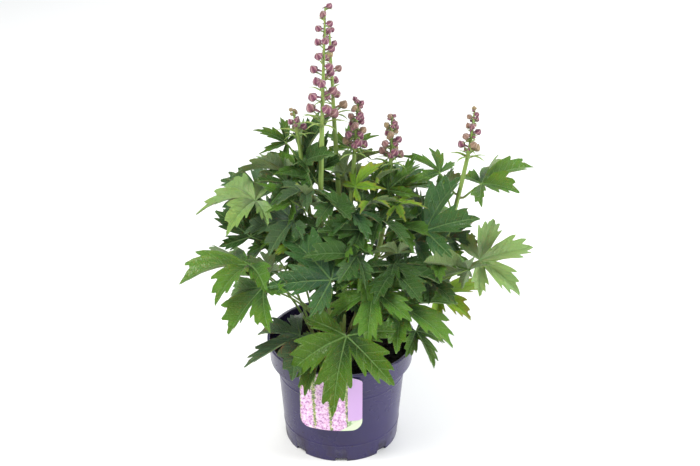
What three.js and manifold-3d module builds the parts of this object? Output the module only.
// Potted delphinium: a round nursery pot of compost holding one leafy clump with six flower stems in bud,
// and a picture tag hooked over the rim.
// Millimetres, +Z up. The origin is the middle of the pot's underside and -Y is the front of the pot.
import * as THREE from 'three';
import { mergeVertices } from 'three/addons/utils/BufferGeometryUtils.js';
import Module from 'manifold-3d';

const wasm = await Module();
wasm.setup();

// Clearance between pieces that touch.
const GAP = 0.3;

// Pot: a tapered wall under a wider collar, with a lip round the top.
const POT_HEIGHT = 145;
const POT_RIM_RADIUS = 95;
const POT_LIP_HEIGHT = 3;
const POT_LIP_OVERHANG = 2;
const POT_WALL = 1.8;
const POT_FLOOR = 2;
const POT_COLLAR_HEIGHT = 30;
const POT_COLLAR_TAPER = 1.5;
const POT_COLLAR_STEP = 9;
const POT_STEP_HEIGHT = 3;
const POT_BASE_RADIUS = 73.5;
const POT_SEGMENTS = 40;

// Drainage notches through the corner of the wall and the floor.
const DRAIN_COUNT = 8;
const DRAIN_WIDTH = 16;
const DRAIN_HEIGHT = 5;
const DRAIN_REACH = 12;

// Compost and the woody crown that sits in it.
const COMPOST_DROP = 23;
const COMPOST_MOUND = 4;
const CROWN_RADIUS = 34;
const CROWN_RISE = 8;
const CROWN_DEPTH = 20;
const CROWN_SEGMENTS = 16;

// Tag: a card that follows the collar, with a tongue hooked over the rim.
const TAG_THICKNESS = 0.8;
const TAG_WIDTH = 80;
const TAG_BELOW_RIM = 81;
const TAG_SHOULDER_ABOVE_RIM = 2;
const TAG_HOOK_ABOVE_RIM = 20;
const TAG_TONGUE_WIDTH = 24;
const TAG_TONGUE_INSIDE = 34;
const TAG_CORNER = 13;
const TAG_TURN = -98;

// Clump: how far its leaf bases reach from the pot's axis, and how high above the compost.
const CLUMP_RADIUS = 200;
const CLUMP_HEIGHT = 300;

// Leaves.
const LEAF_LENGTH = 80;
const BLADE_THICKNESS = 1;
const PETIOLE_FOOT_RADIUS = 1.9;
const PETIOLE_TOP_RADIUS = 1.2;
const PETIOLE_SIDES = 4;
const PETIOLE_STEPS = 5;
const PETIOLE_INTO_BLADE = 3;
const LOBE_ANGLES = [-108, -54, 0, 54, 108];
const LOBE_LENGTHS = [0.62, 0.86, 1, 0.86, 0.62];
const LOBE_HALF_ANGLE = 27;
const BROAD = { cut: 0.4, shoulder: 0.6, width: 0.27, fold: 0.12 };
const NARROW = { cut: 0.24, shoulder: 0.55, width: 0.17, fold: 0.16 };

// Flower stems, buds and their pedicels.
const STEM_FOOT_RADIUS = 4.2;
const STEM_NECK_RADIUS = 2.8;
const STEM_TIP_RADIUS = 1;
const STEM_SIDES = 6;
const STEM_STEPS = 9;
const RACHIS_SIDES = 5;
const RACHIS_STEPS = 6;
const BUD_RADIUS = 5.4;
const PEDICEL_LENGTH = 13;
const PEDICEL_RADIUS = 0.9;
const BUD_SIDES = 4;
const GOLDEN_ANGLE = 137.5;

// The steps in which a leaf settles clear of its neighbours, how many of each it may take at first, and how
// many when all of those places are taken.
const SETTLE_TURN = 3;
const SETTLE_LIFT = 5;
const SETTLE_REACH = 6;
const SETTLE_NEAR = [5, 5, 3];
const SETTLE_FAR = [12, 10, 6];

const COMPOST_LEVEL = POT_HEIGHT - COMPOST_DROP;
const COLLAR_TOP_RADIUS = POT_RIM_RADIUS - POT_LIP_OVERHANG;
const COLLAR_FOOT_RADIUS = COLLAR_TOP_RADIUS - POT_COLLAR_TAPER;
const COLLAR_FOOT = POT_HEIGHT - POT_COLLAR_HEIGHT;
const WALL_TOP_RADIUS = COLLAR_FOOT_RADIUS - POT_COLLAR_STEP;

const MATERIALS = {
  pot: new THREE.MeshStandardMaterial({ color: 0x3d3866, roughness: 0.4, metalness: 0 }),
  compost: new THREE.MeshStandardMaterial({ color: 0x1c130e, roughness: 0.95, metalness: 0 }),
  tag: new THREE.MeshStandardMaterial({ color: 0xdbbce6, roughness: 0.35, metalness: 0 }),
  crown: new THREE.MeshStandardMaterial({ color: 0x6b6a35, roughness: 0.7, metalness: 0 }),
  stem: new THREE.MeshStandardMaterial({ color: 0x7f9c45, roughness: 0.5, metalness: 0 }),
  buds: new THREE.MeshStandardMaterial({ color: 0x8a5a78, roughness: 0.55, metalness: 0 }),
  leaf: new THREE.MeshStandardMaterial({ color: 0x2f6b2c, roughness: 0.5, metalness: 0 }),
};

const degrees = THREE.MathUtils.degToRad;

// A closed manifold solid from a geometry, with flat slivers dropped and its faces turned outwards.
function solidOf(geometry) {
  const bare = geometry.clone();
  bare.deleteAttribute('normal');
  bare.deleteAttribute('uv');
  const merged = mergeVertices(bare, 1e-4);
  const places = merged.attributes.position.array;
  const corners = [];
  let sixVolumes = 0;
  for (let i = 0; i < merged.index.count; i += 3) {
    const [a, b, c] = merged.index.array.slice(i, i + 3);
    if (a === b || b === c || c === a) continue;
    corners.push(a, b, c);
    const [p, q, r] = [a, b, c].map((v) => new THREE.Vector3().fromArray(places, 3 * v));
    sixVolumes += p.dot(q.cross(r));
  }
  if (sixVolumes < 0) corners.reverse();
  return new wasm.Manifold(new wasm.Mesh({
    numProp: 3,
    vertProperties: new Float32Array(places),
    triVerts: new Uint32Array(corners),
  }));
}

// The geometry of a solid.
function geometryOf(solid) {
  const mesh = solid.getMesh();
  const geometry = new THREE.BufferGeometry();
  geometry.setAttribute('position', new THREE.BufferAttribute(mesh.vertProperties, mesh.numProp));
  geometry.setIndex(new THREE.BufferAttribute(mesh.triVerts, 1));
  geometry.computeVertexNormals();
  return geometry;
}

// A solid of revolution about Z from [radius, height] pairs that start and end on the axis.
function turned(profile, segments) {
  const points = profile.map(([radius, height]) => new THREE.Vector2(radius, height));
  return solidOf(new THREE.LatheGeometry(points, segments).rotateX(Math.PI / 2));
}

// A geometry that stands along Y from 0 to 1, bent so that its Y axis follows a curve.
function bent(geometry, curve, steps) {
  const frames = curve.computeFrenetFrames(steps, false);
  const position = geometry.attributes.position;
  for (let i = 0; i < position.count; i += 1) {
    const along = THREE.MathUtils.clamp(position.getY(i), 0, 1);
    const step = Math.round(along * steps);
    const place = curve.getPointAt(along)
      .addScaledVector(frames.normals[step], position.getX(i))
      .addScaledVector(frames.binormals[step], -position.getZ(i));
    position.setXYZ(i, place.x, place.y, place.z);
  }
  return geometry;
}

// A tapered rod along a curve.
function rodAlong(curve, startRadius, endRadius, sides, steps) {
  const rod = new THREE.CylinderGeometry(endRadius, startRadius, 1, sides, steps);
  return solidOf(bent(rod.translate(0, 0.5, 0), curve, steps));
}

// A thin closed sheet: the top and bottom points share one list of triangles, and open edges are walled.
function sheetOf(top, bottom, triangles) {
  const corners = [];
  const used = new Set(triangles.flatMap(([a, b, c]) => [`${a},${b}`, `${b},${c}`, `${c},${a}`]));
  const under = top.length;
  for (const [a, b, c] of triangles) {
    corners.push(a, b, c, under + a, under + c, under + b);
    for (const [from, to] of [[a, b], [b, c], [c, a]]) {
      if (used.has(`${to},${from}`)) continue;
      corners.push(from, under + from, to, to, under + from, under + to);
    }
  }
  const geometry = new THREE.BufferGeometry().setFromPoints([...top, ...bottom]);
  geometry.setIndex(corners);
  return solidOf(geometry);
}

// A point from its turn about the pot's axis, its distance from it and its height.
function around(turn, reach, height) {
  const angle = degrees(turn);
  return new THREE.Vector3(reach * Math.cos(angle), reach * Math.sin(angle), height);
}

// A point in the clump: reach and height are hundredths of the clump's own.
function inClump(turn, reach, height) {
  return around(turn, reach * CLUMP_RADIUS / 100, COMPOST_LEVEL + height * CLUMP_HEIGHT / 100);
}

// The inside of the pot as [radius, height] pairs, drawn in by a clearance.
function potInside(clearance) {
  return [
    [0, POT_FLOOR + clearance],
    [POT_BASE_RADIUS - POT_WALL - clearance, POT_FLOOR + clearance],
    [WALL_TOP_RADIUS - POT_WALL - clearance, COLLAR_FOOT + clearance],
    [COLLAR_FOOT_RADIUS - POT_WALL - clearance, COLLAR_FOOT + POT_STEP_HEIGHT + clearance],
  ];
}

function makePot() {
  const inside = potInside(0);
  const shell = turned([
    [0, 0],
    [POT_BASE_RADIUS, 0],
    [WALL_TOP_RADIUS, COLLAR_FOOT - POT_WALL],
    [COLLAR_FOOT_RADIUS, COLLAR_FOOT + POT_STEP_HEIGHT - POT_WALL],
    [COLLAR_TOP_RADIUS, POT_HEIGHT - POT_LIP_HEIGHT],
    [POT_RIM_RADIUS, POT_HEIGHT - POT_LIP_HEIGHT],
    [POT_RIM_RADIUS, POT_HEIGHT],
    [COLLAR_TOP_RADIUS - POT_WALL, POT_HEIGHT],
    ...inside.reverse(),
  ], POT_SEGMENTS);
  const notch = new THREE.BoxGeometry(2 * DRAIN_REACH, DRAIN_WIDTH, 2 * DRAIN_HEIGHT);
  let pot = shell;
  for (let i = 0; i < DRAIN_COUNT; i += 1) {
    const cutter = notch.clone().translate(POT_BASE_RADIUS, 0, 0)
      .rotateZ(degrees(-90 + 360 * i / DRAIN_COUNT));
    pot = pot.subtract(solidOf(cutter));
  }
  return pot;
}

// The height of the crown's domed top at a distance from the axis.
function crownTop(radius) {
  return COMPOST_LEVEL + CROWN_RISE * (2 - (radius / CROWN_RADIUS) ** 2);
}

function crownSolid(growth) {
  const [middle, edge] = [CROWN_RADIUS * 0.6, CROWN_RADIUS];
  return turned([
    [0, COMPOST_LEVEL - CROWN_DEPTH - growth],
    [middle + growth, COMPOST_LEVEL - CROWN_DEPTH - growth],
    [edge + growth, COMPOST_LEVEL - CROWN_RISE],
    [edge + growth, crownTop(edge) + growth],
    [middle, crownTop(middle) + growth],
    [0, crownTop(0) + growth],
  ], CROWN_SEGMENTS);
}

function makeCompost() {
  const side = COLLAR_FOOT_RADIUS - POT_WALL - GAP;
  const bulk = turned([
    ...potInside(GAP),
    [side, COMPOST_LEVEL],
    [side / 2, COMPOST_LEVEL + COMPOST_MOUND],
    [0, COMPOST_LEVEL + COMPOST_MOUND],
  ], POT_SEGMENTS);
  return bulk.subtract(crownSolid(GAP));
}

// The tag's path in the upright plane through the pot's axis: up the outside, over the rim, down inside.
function tagPath() {
  const outside = POT_RIM_RADIUS + GAP + TAG_THICKNESS / 2;
  const facetDip = POT_RIM_RADIUS * (1 - Math.cos(Math.PI / POT_SEGMENTS));
  const inside = COLLAR_FOOT_RADIUS - POT_WALL - facetDip - GAP - TAG_THICKNESS;
  const bend = (outside - inside) / 2;
  const foot = POT_HEIGHT - TAG_BELOW_RIM;
  const crest = POT_HEIGHT + TAG_HOOK_ABOVE_RIM - bend;
  const halfWidth = TAG_WIDTH / 2;
  const tongue = TAG_TONGUE_WIDTH / 2;
  const shoulder = POT_HEIGHT + TAG_SHOULDER_ABOVE_RIM;
  const rows = [];
  for (const step of [0, 1, 2, 3]) {
    const angle = degrees(30 * step);
    const drawnIn = TAG_CORNER * (1 - Math.sin(angle));
    rows.push([outside, 0, foot + TAG_CORNER * (1 - Math.cos(angle)), halfWidth - drawnIn]);
  }
  rows.push([outside, 0, shoulder - TAG_CORNER, halfWidth]);
  rows.push([outside, 0, shoulder, (halfWidth + tongue) / 2]);
  for (const step of [0, 1, 2, 3, 4]) {
    const angle = degrees(45 * step);
    rows.push([inside + bend + bend * Math.cos(angle), angle, crest + bend * Math.sin(angle), tongue]);
  }
  rows.push([inside, Math.PI, crest - TAG_TONGUE_INSIDE, tongue]);
  return rows;
}

function makeTag() {
  const columns = 8;
  const [front, back, triangles] = [[], [], []];
  const rows = tagPath();
  rows.forEach(([radius, lean, height, halfWidth], row) => {
    for (let column = 0; column <= columns; column += 1) {
      const across = halfWidth * (2 * column / columns - 1);
      const turn = TAG_TURN + THREE.MathUtils.radToDeg(across / POT_RIM_RADIUS);
      const [out, up] = [Math.cos(lean) * TAG_THICKNESS / 2, Math.sin(lean) * TAG_THICKNESS / 2];
      front.push(around(turn, radius + out, height + up));
      back.push(around(turn, radius - out, height - up));
      if (row === 0 || column === 0) continue;
      const corner = row * (columns + 1) + column;
      const below = corner - columns - 1;
      triangles.push([below - 1, below, corner], [below - 1, corner, corner - 1]);
    }
  });
  return sheetOf(front, back, triangles);
}

// Flower stems: a foot on the crown, a point half way, the neck where the buds start, and the tip.
const STEMS = [
  { foot: [200, 12], half: [185, 12, 59], neck: [180, 11, 104], tip: [180, 8.5, 154], buds: 22, scale: 1 },
  { foot: [105, 16], half: [94, 14, 59], neck: [103, 18, 104], tip: [110, 19, 141], buds: 11, scale: 0.8 },
  { foot: [60, 4], half: [58, 9, 53], neck: [50, 13, 90], tip: [44, 14.5, 113], buds: 15, scale: 0.75 },
  { foot: [35, 22], half: [27, 28, 49], neck: [26, 34, 84], tip: [26, 34.5, 105], buds: 13, scale: 0.75 },
  { foot: [0, 26], half: [4, 55, 36], neck: [4, 77, 90], tip: [4, 80, 110], buds: 12, scale: 0.65 },
  { foot: [160, 22], half: [158, 20, 59], neck: [159, 28, 99], tip: [161, 30, 109], buds: 5, scale: 0.5 },
];

function stemCurve({ foot, half, neck, tip }) {
  const [turn, reach] = foot;
  const standing = around(turn, reach, crownTop(Math.max(0, reach - STEM_FOOT_RADIUS)) + 2 * GAP);
  const rising = standing.clone().setZ(standing.z + CROWN_DEPTH);
  return new THREE.CatmullRomCurve3([standing, rising, inClump(...half), inClump(...neck), inClump(...tip)]);
}

// The part of a curve between two shares of its length.
function stretch(curve, from, to) {
  const points = [];
  for (let i = 0; i <= STEM_STEPS; i += 1) points.push(curve.getPointAt(from + (to - from) * i / STEM_STEPS));
  return new THREE.CatmullRomCurve3(points);
}

// The share of the stem's length at which its neck lies.
function neckShare(stem, curve) {
  const neck = inClump(...stem.neck);
  let [best, nearest] = [0, Infinity];
  for (let i = 0; i <= 200; i += 1) {
    const distance = curve.getPointAt(i / 200).distanceTo(neck);
    if (distance < nearest) [best, nearest] = [i / 200, distance];
  }
  return best;
}

// One bud on its pedicel: a turned club, slim below and swollen near its end, bent up from the rachis.
function budOnPedicel(root, outward, length, radius) {
  const slim = PEDICEL_RADIUS;
  const whole = length + 2.2 * radius;
  const profile = [
    [0, 0],
    [slim, 0],
    [slim, length / whole],
    [radius, (length + 0.8 * radius) / whole],
    [0.75 * radius, (length + 1.7 * radius) / whole],
    [0, 1],
  ].map(([r, y]) => new THREE.Vector2(r, y));
  const up = new THREE.Vector3(0, 0, 1);
  const bendPoint = root.clone().addScaledVector(outward, 0.55 * whole).addScaledVector(up, 0.25 * whole);
  const end = root.clone().addScaledVector(outward, 0.75 * whole).addScaledVector(up, 0.66 * whole);
  const club = new THREE.LatheGeometry(profile, BUD_SIDES);
  return solidOf(bent(club, new THREE.QuadraticBezierCurve3(root, bendPoint, end), 60));
}

function makeRaceme(stem, axis) {
  let raceme = rodAlong(axis, STEM_NECK_RADIUS * 0.9, STEM_TIP_RADIUS, RACHIS_SIDES, RACHIS_STEPS);
  for (let i = 0; i < stem.buds; i += 1) {
    const share = i / (stem.buds - 1);
    const outward = around(GOLDEN_ANGLE * i + 20, 1, 0);
    const radius = BUD_RADIUS * Math.sqrt(stem.scale) * (1 - 0.4 * share);
    const length = PEDICEL_LENGTH * stem.scale * (1 - 0.75 * share);
    raceme = raceme.add(budOnPedicel(axis.getPointAt(0.04 + 0.94 * share), outward, length, radius));
  }
  return raceme;
}

// Leaves. Columns: name, the stem it grows from (0 is the crown), turn, reach and height of the blade's base,
// size as a share of a full leaf, heading and pitch of the midrib, roll about it, droop, and form.
const LEAVES = [
  ['front_overhang', 0, -86, 50, 28, 1.2, -105, -35, 0, 0.5, BROAD],
  ['rim_left', 0, -130, 39, 20, 1, -155, -20, 10, 0.5, BROAD],
  ['left_far', 0, -163, 58, 48, 1.15, 186, -3, -6, 0.8, BROAD],
  ['left_hanging', 0, -146, 58, 45, 0.9, -152, -42, 0, 0.4, BROAD],
  ['left_high', 0, 180, 52, 72, 0.9, 187, 8, 5, 0.8, BROAD],
  ['left_upright', 0, -176, 59, 48, 0.82, 95, 58, 0, 0.35, BROAD],
  ['right_far', 0, -3, 86, 46, 0.92, 15, 12, -40, 0.6, BROAD],
  ['right_far_back', 0, -9, 83, 44, 0.78, -165, 22, -50, 0.5, BROAD],
  ['right_top', 5, 3, 86, 78, 0.85, 10, 25, 0, 0.6, BROAD],
  ['right_low', 0, -20, 44, 31, 1.05, -30, -8, -15, 0.7, BROAD],
  ['right_fan', 4, -12, 53, 62, 1.02, 45, 50, 0, 0.45, BROAD],
  ['middle_fan', 1, -99, 37, 47, 1.1, 150, 40, 25, 0.5, BROAD],
  ['right_yellow', 0, 9, 64, 23, 0.75, 8, 12, -30, 0.5, BROAD],
  ['right_top_left', 5, 14, 63, 78, 0.68, 165, 28, 20, 0.5, NARROW],
  ['left_far_pale', 0, -156, 53, 43, 0.48, -125, 65, 0, 0.3, BROAD],
  ['left_grey', 6, -166, 36, 61, 0.8, 176, -8, 15, 0.5, BROAD],
  ['top_left_outer', 6, 164, 36, 82, 0.78, 175, 8, -50, 0.5, BROAD],
  ['top_right_narrow', 3, 29, 21, 69, 0.92, 10, 25, -35, 0.5, NARROW],
  ['left_yellow', 0, -165, 40, 56, 0.55, 100, 40, 0, 0.4, BROAD],
  ['top_left_upright', 6, 169, 27, 83, 0.88, 30, 72, 0, 0.35, BROAD],
  ['middle_right_hanging', 0, -55, 37, 42, 0.92, -95, -30, 0, 0.6, BROAD],
  ['front_underleaf', 0, -106, 42, 19, 0.75, -125, -45, 0, 0.4, BROAD],
  ['right_low_under', 0, -8, 50, 17, 0.65, -40, -35, 0, 0.4, BROAD],
  ['middle_dark', 1, -49, 20, 64, 0.88, 160, 45, 15, 0.5, BROAD],
  ['middle_left', 1, -78, 30, 60, 0.8, 195, 20, 30, 0.6, BROAD],
  ['middle_pale', 4, -30, 40, 55, 0.5, -140, 45, -30, 0.5, NARROW],
  ['middle_low_right', 4, -35, 39, 49, 0.85, -60, -8, 0, 0.6, BROAD],
  ['right_top_cup', 5, 9, 67, 75, 0.45, -60, 60, 0, 0.3, BROAD],
  ['top_right_pale', 2, 80, 15, 80, 0.75, 12, 35, 60, 0.4, NARROW],
  ['top_behind', 2, 125, 25, 81, 0.6, 60, 70, 0, 0.3, NARROW],
  ['top_left_narrow', 6, 147, 28, 86, 0.55, 165, 30, 30, 0.5, NARROW],
  ['left_small', 1, -170, 30, 75, 0.6, 180, 35, 30, 0.5, NARROW],
  ['left_pale', 1, -155, 24, 74, 0.55, -140, 60, 0, 0.4, BROAD],
  ['back_right_low', 0, 58, 58, 18, 0.8, 58, -12, 0, 0.6, BROAD],
  ['back_right_middle', 0, 42, 76, 42, 0.85, 42, 5, -10, 0.7, BROAD],
  ['back_right_high', 4, 60, 66, 60, 0.9, 62, 12, -10, 0.7, BROAD],
  ['back_middle', 0, 84, 68, 38, 0.92, 85, 0, 0, 0.7, BROAD],
  ['back_high', 2, 106, 66, 66, 0.82, 108, 15, 10, 0.7, BROAD],
  ['back_low', 0, 100, 56, 20, 0.82, 100, -15, 0, 0.5, BROAD],
  ['back_left_middle', 0, 130, 72, 43, 0.9, 135, 5, 10, 0.7, BROAD],
  ['back_left_low', 0, 142, 60, 22, 0.82, 145, -12, 10, 0.6, BROAD],
  ['back_left_high', 6, 146, 62, 62, 0.82, 150, 15, 20, 0.7, BROAD],
  ['back_top', 2, 84, 44, 84, 0.65, 80, 30, 0, 0.5, NARROW],
].map(([name, stem, turn, reach, height, size, heading, pitch, roll, droop, form], order) => ({
  name, stem, turn, reach, height, size, heading, pitch, roll, droop, form, order,
}));

// The blade's own axes: along the midrib, to its left, and out of its upper face.
function bladeAxes({ heading, pitch, roll }, swing) {
  const [h, p, r] = [heading + swing, pitch, roll].map(degrees);
  const along = new THREE.Vector3(Math.cos(h) * Math.cos(p), Math.sin(h) * Math.cos(p), Math.sin(p));
  const level = new THREE.Vector3(-Math.sin(h), Math.cos(h), 0);
  const upright = along.clone().cross(level);
  const left = level.clone().multiplyScalar(Math.cos(r)).addScaledVector(upright, -Math.sin(r));
  return { along, left, normal: along.clone().cross(left) };
}

// A flat point of the blade laid on its arched, folded surface. Its lobes rise a little and then droop.
function onBlade(leaf, length, base, axes, [x, y], offset) {
  const distance = Math.hypot(x, y);
  const angle = Math.atan2(y, x);
  const rise = 0.3 * leaf.droop;
  const curl = leaf.droop / length;
  const fromRib = Math.min(...LOBE_ANGLES.map((rib) => Math.abs(angle - degrees(rib))));
  const fold = leaf.form.fold * Math.min(1, fromRib / degrees(LOBE_HALF_ANGLE));
  const sway = 0.1 * distance / length * Math.sin(2 * angle + leaf.order);
  const out = (Math.sin(rise) - Math.sin(rise - curl * distance)) / curl;
  const up = (Math.cos(rise - curl * distance) - Math.cos(rise)) / curl + (fold + sway) * distance;
  return base.clone()
    .addScaledVector(axes.along, out * Math.cos(angle))
    .addScaledVector(axes.left, out * Math.sin(angle))
    .addScaledVector(axes.normal, up + offset);
}

// The flat blade: five lobes round the petiole's top, each with a shoulder tooth on both sides of its tip.
function flatBlade({ form }, length) {
  const polar = (distance, angle) => [
    distance * Math.cos(degrees(angle)),
    distance * Math.sin(degrees(angle)),
  ];
  const points = [[0, 0]];
  const triangles = [];
  const lobes = LOBE_ANGLES.length;
  for (let i = 0; i <= lobes; i += 1) {
    const inner = Math.max(0, i - 1);
    const outer = Math.min(lobes - 1, i);
    const shorter = Math.min(LOBE_LENGTHS[inner], LOBE_LENGTHS[outer]);
    const beside = i === 0 ? -LOBE_HALF_ANGLE : i === lobes ? LOBE_HALF_ANGLE : 0;
    const angle = (LOBE_ANGLES[inner] + LOBE_ANGLES[outer]) / 2 + beside;
    points.push(polar(form.cut * shorter * length, angle));
  }
  for (let i = 0; i < lobes; i += 1) {
    const [angle, lobe] = [LOBE_ANGLES[i], LOBE_LENGTHS[i] * length];
    const shoulder = Math.hypot(form.shoulder, form.width) * lobe;
    const swing = THREE.MathUtils.radToDeg(Math.atan2(form.width, form.shoulder));
    const middle = points.length;
    points.push(polar(0.45 * lobe, angle), polar(shoulder, angle - swing));
    points.push(polar(lobe, angle), polar(shoulder, angle + swing));
    const [before, after] = [i + 1, i + 2];
    const [right, tip, left] = [middle + 1, middle + 2, middle + 3];
    triangles.push([0, before, middle], [0, middle, after], [before, right, middle]);
    triangles.push([right, tip, middle], [middle, tip, left], [middle, left, after]);
  }
  return { points, triangles };
}

// The petiole's curve from the crown, or from a stem's side, to just inside the blade.
function petioleCurve(leaf, swing, base, end, stems) {
  const up = new THREE.Vector3(0, 0, 1);
  let [start, away] = [null, null];
  if (leaf.stem === 0) {
    const ring = CROWN_RADIUS * (0.5 + 0.2 * (leaf.order % 3));
    start = around(leaf.turn + swing, ring, crownTop(ring - PETIOLE_FOOT_RADIUS) + 2 * GAP);
    away = around(leaf.turn + swing, 0.35, 1);
  } else {
    const node = stemNode(leaf, base, stems[leaf.stem - 1]);
    away = base.clone().sub(node).setZ(0).normalize();
    const clear = STEM_FOOT_RADIUS + PETIOLE_FOOT_RADIUS + 2 * GAP;
    start = node.addScaledVector(away, clear);
    away.addScaledVector(up, 0.9);
  }
  const length = start.distanceTo(base);
  const outward = base.clone().sub(start).setZ(0).normalize().multiplyScalar(0.8).addScaledVector(up, 0.45);
  return new THREE.CubicBezierCurve3(
    start,
    start.clone().addScaledVector(away.normalize(), 0.4 * length),
    base.clone().addScaledVector(outward.normalize(), -0.3 * length),
    end,
  );
}

// The point of a stem that a leaf grows from: lower than the blade's base by two thirds of its distance.
function stemNode(leaf, base, curve) {
  let [best, nearest] = [null, Infinity];
  for (let i = 10; i <= 90; i += 1) {
    const point = curve.getPointAt(i / 100);
    const apart = Math.hypot(point.x - base.x, point.y - base.y);
    const miss = Math.abs(base.z - 0.66 * apart - point.z);
    if (miss < nearest) [best, nearest] = [point, miss];
  }
  return best;
}

// One leaf: its blade and petiole as one solid. Padding thickens it all round for the clearance test.
function leafSolid(leaf, settled, padding, stems) {
  const [swing, lift, push] = settled;
  const base = inClump(leaf.turn + swing, leaf.reach, leaf.height);
  base.add(around(leaf.turn + swing, push, lift));
  const axes = bladeAxes(leaf, swing);
  const length = leaf.size * LEAF_LENGTH;
  const { points, triangles } = flatBlade(leaf, length);
  const half = BLADE_THICKNESS / 2 + padding;
  const top = points.map((point) => onBlade(leaf, length, base, axes, point, half));
  const bottom = points.map((point) => onBlade(leaf, length, base, axes, point, -half));
  const end = onBlade(leaf, length, base, axes, [PETIOLE_INTO_BLADE, 0], 0);
  const curve = petioleCurve(leaf, swing, base, end, stems);
  const foot = PETIOLE_FOOT_RADIUS * Math.sqrt(leaf.size) + padding;
  const petiole = rodAlong(curve, foot, PETIOLE_TOP_RADIUS + padding, PETIOLE_SIDES, PETIOLE_STEPS);
  return sheetOf(top, bottom, triangles).add(petiole);
}

// Moves of a leaf, nearest first: a turn about the pot's axis, a lift and a push outwards.
function settlingMoves([turns, lifts, pushes]) {
  const moves = [];
  for (let turn = -turns; turn <= turns; turn += 1) {
    for (let lift = -lifts; lift <= lifts; lift += 1) {
      for (let push = -pushes; push <= pushes; push += 1) moves.push([turn, lift, push]);
    }
  }
  const cost = ([turn, lift, push]) => turn * turn + lift * lift + 1.5 * push * push;
  return moves.sort((one, other) => cost(one) - cost(other))
    .map(([turn, lift, push]) => [turn * SETTLE_TURN, lift * SETTLE_LIFT, push * SETTLE_REACH]);
}

function boxesMeet(one, other) {
  return [0, 1, 2].every((axis) => one.min[axis] <= other.max[axis] && other.min[axis] <= one.max[axis]);
}

// The leaf at the first move that clears everything already placed, or where it touches least.
function settledLeaf(leaf, placed, stems, moves) {
  let [best, least] = [null, Infinity];
  for (const move of moves) {
    const padded = leafSolid(leaf, move, GAP, stems);
    const box = padded.boundingBox();
    let shared = 0;
    for (const other of placed) {
      if (!boxesMeet(box, other.box)) continue;
      shared += padded.intersect(other.solid).volume();
      if (shared >= least) break;
    }
    if (shared < least) [best, least] = [move, shared];
    if (least <= 0) break;
  }
  return leafSolid(leaf, best, 0, stems);
}

const plant = new THREE.Group();
const placed = [];

function place(name, solid, material) {
  const mesh = new THREE.Mesh(geometryOf(solid), material.clone());
  mesh.name = name;
  plant.add(mesh);
  placed.push({ name, solid, box: solid.boundingBox() });
}

place('nursery_pot', makePot(), MATERIALS.pot);
place('compost', makeCompost(), MATERIALS.compost);
place('picture_tag', makeTag(), MATERIALS.tag);
place('root_crown', crownSolid(0), MATERIALS.crown);

const stemCurves = STEMS.map(stemCurve);
STEMS.forEach((stem, index) => {
  const curve = stemCurves[index];
  const share = neckShare(stem, curve);
  const lower = stretch(curve, 0, share - GAP / curve.getLength());
  const upper = stretch(curve, share, 1);
  const slim = 0.6 + 0.4 * stem.scale;
  const shaft = rodAlong(lower, STEM_FOOT_RADIUS * slim, STEM_NECK_RADIUS * slim, STEM_SIDES, STEM_STEPS);
  place(`flower_stem_${index + 1}`, shaft, MATERIALS.stem);
  place(`bud_spike_${index + 1}`, makeRaceme(stem, upper), MATERIALS.buds);
});

const moves = [...settlingMoves(SETTLE_NEAR), ...settlingMoves(SETTLE_FAR)];
for (const leaf of LEAVES) {
  place(`leaf_${leaf.name}`, settledLeaf(leaf, placed, stemCurves, moves), MATERIALS.leaf);
}

export default plant;
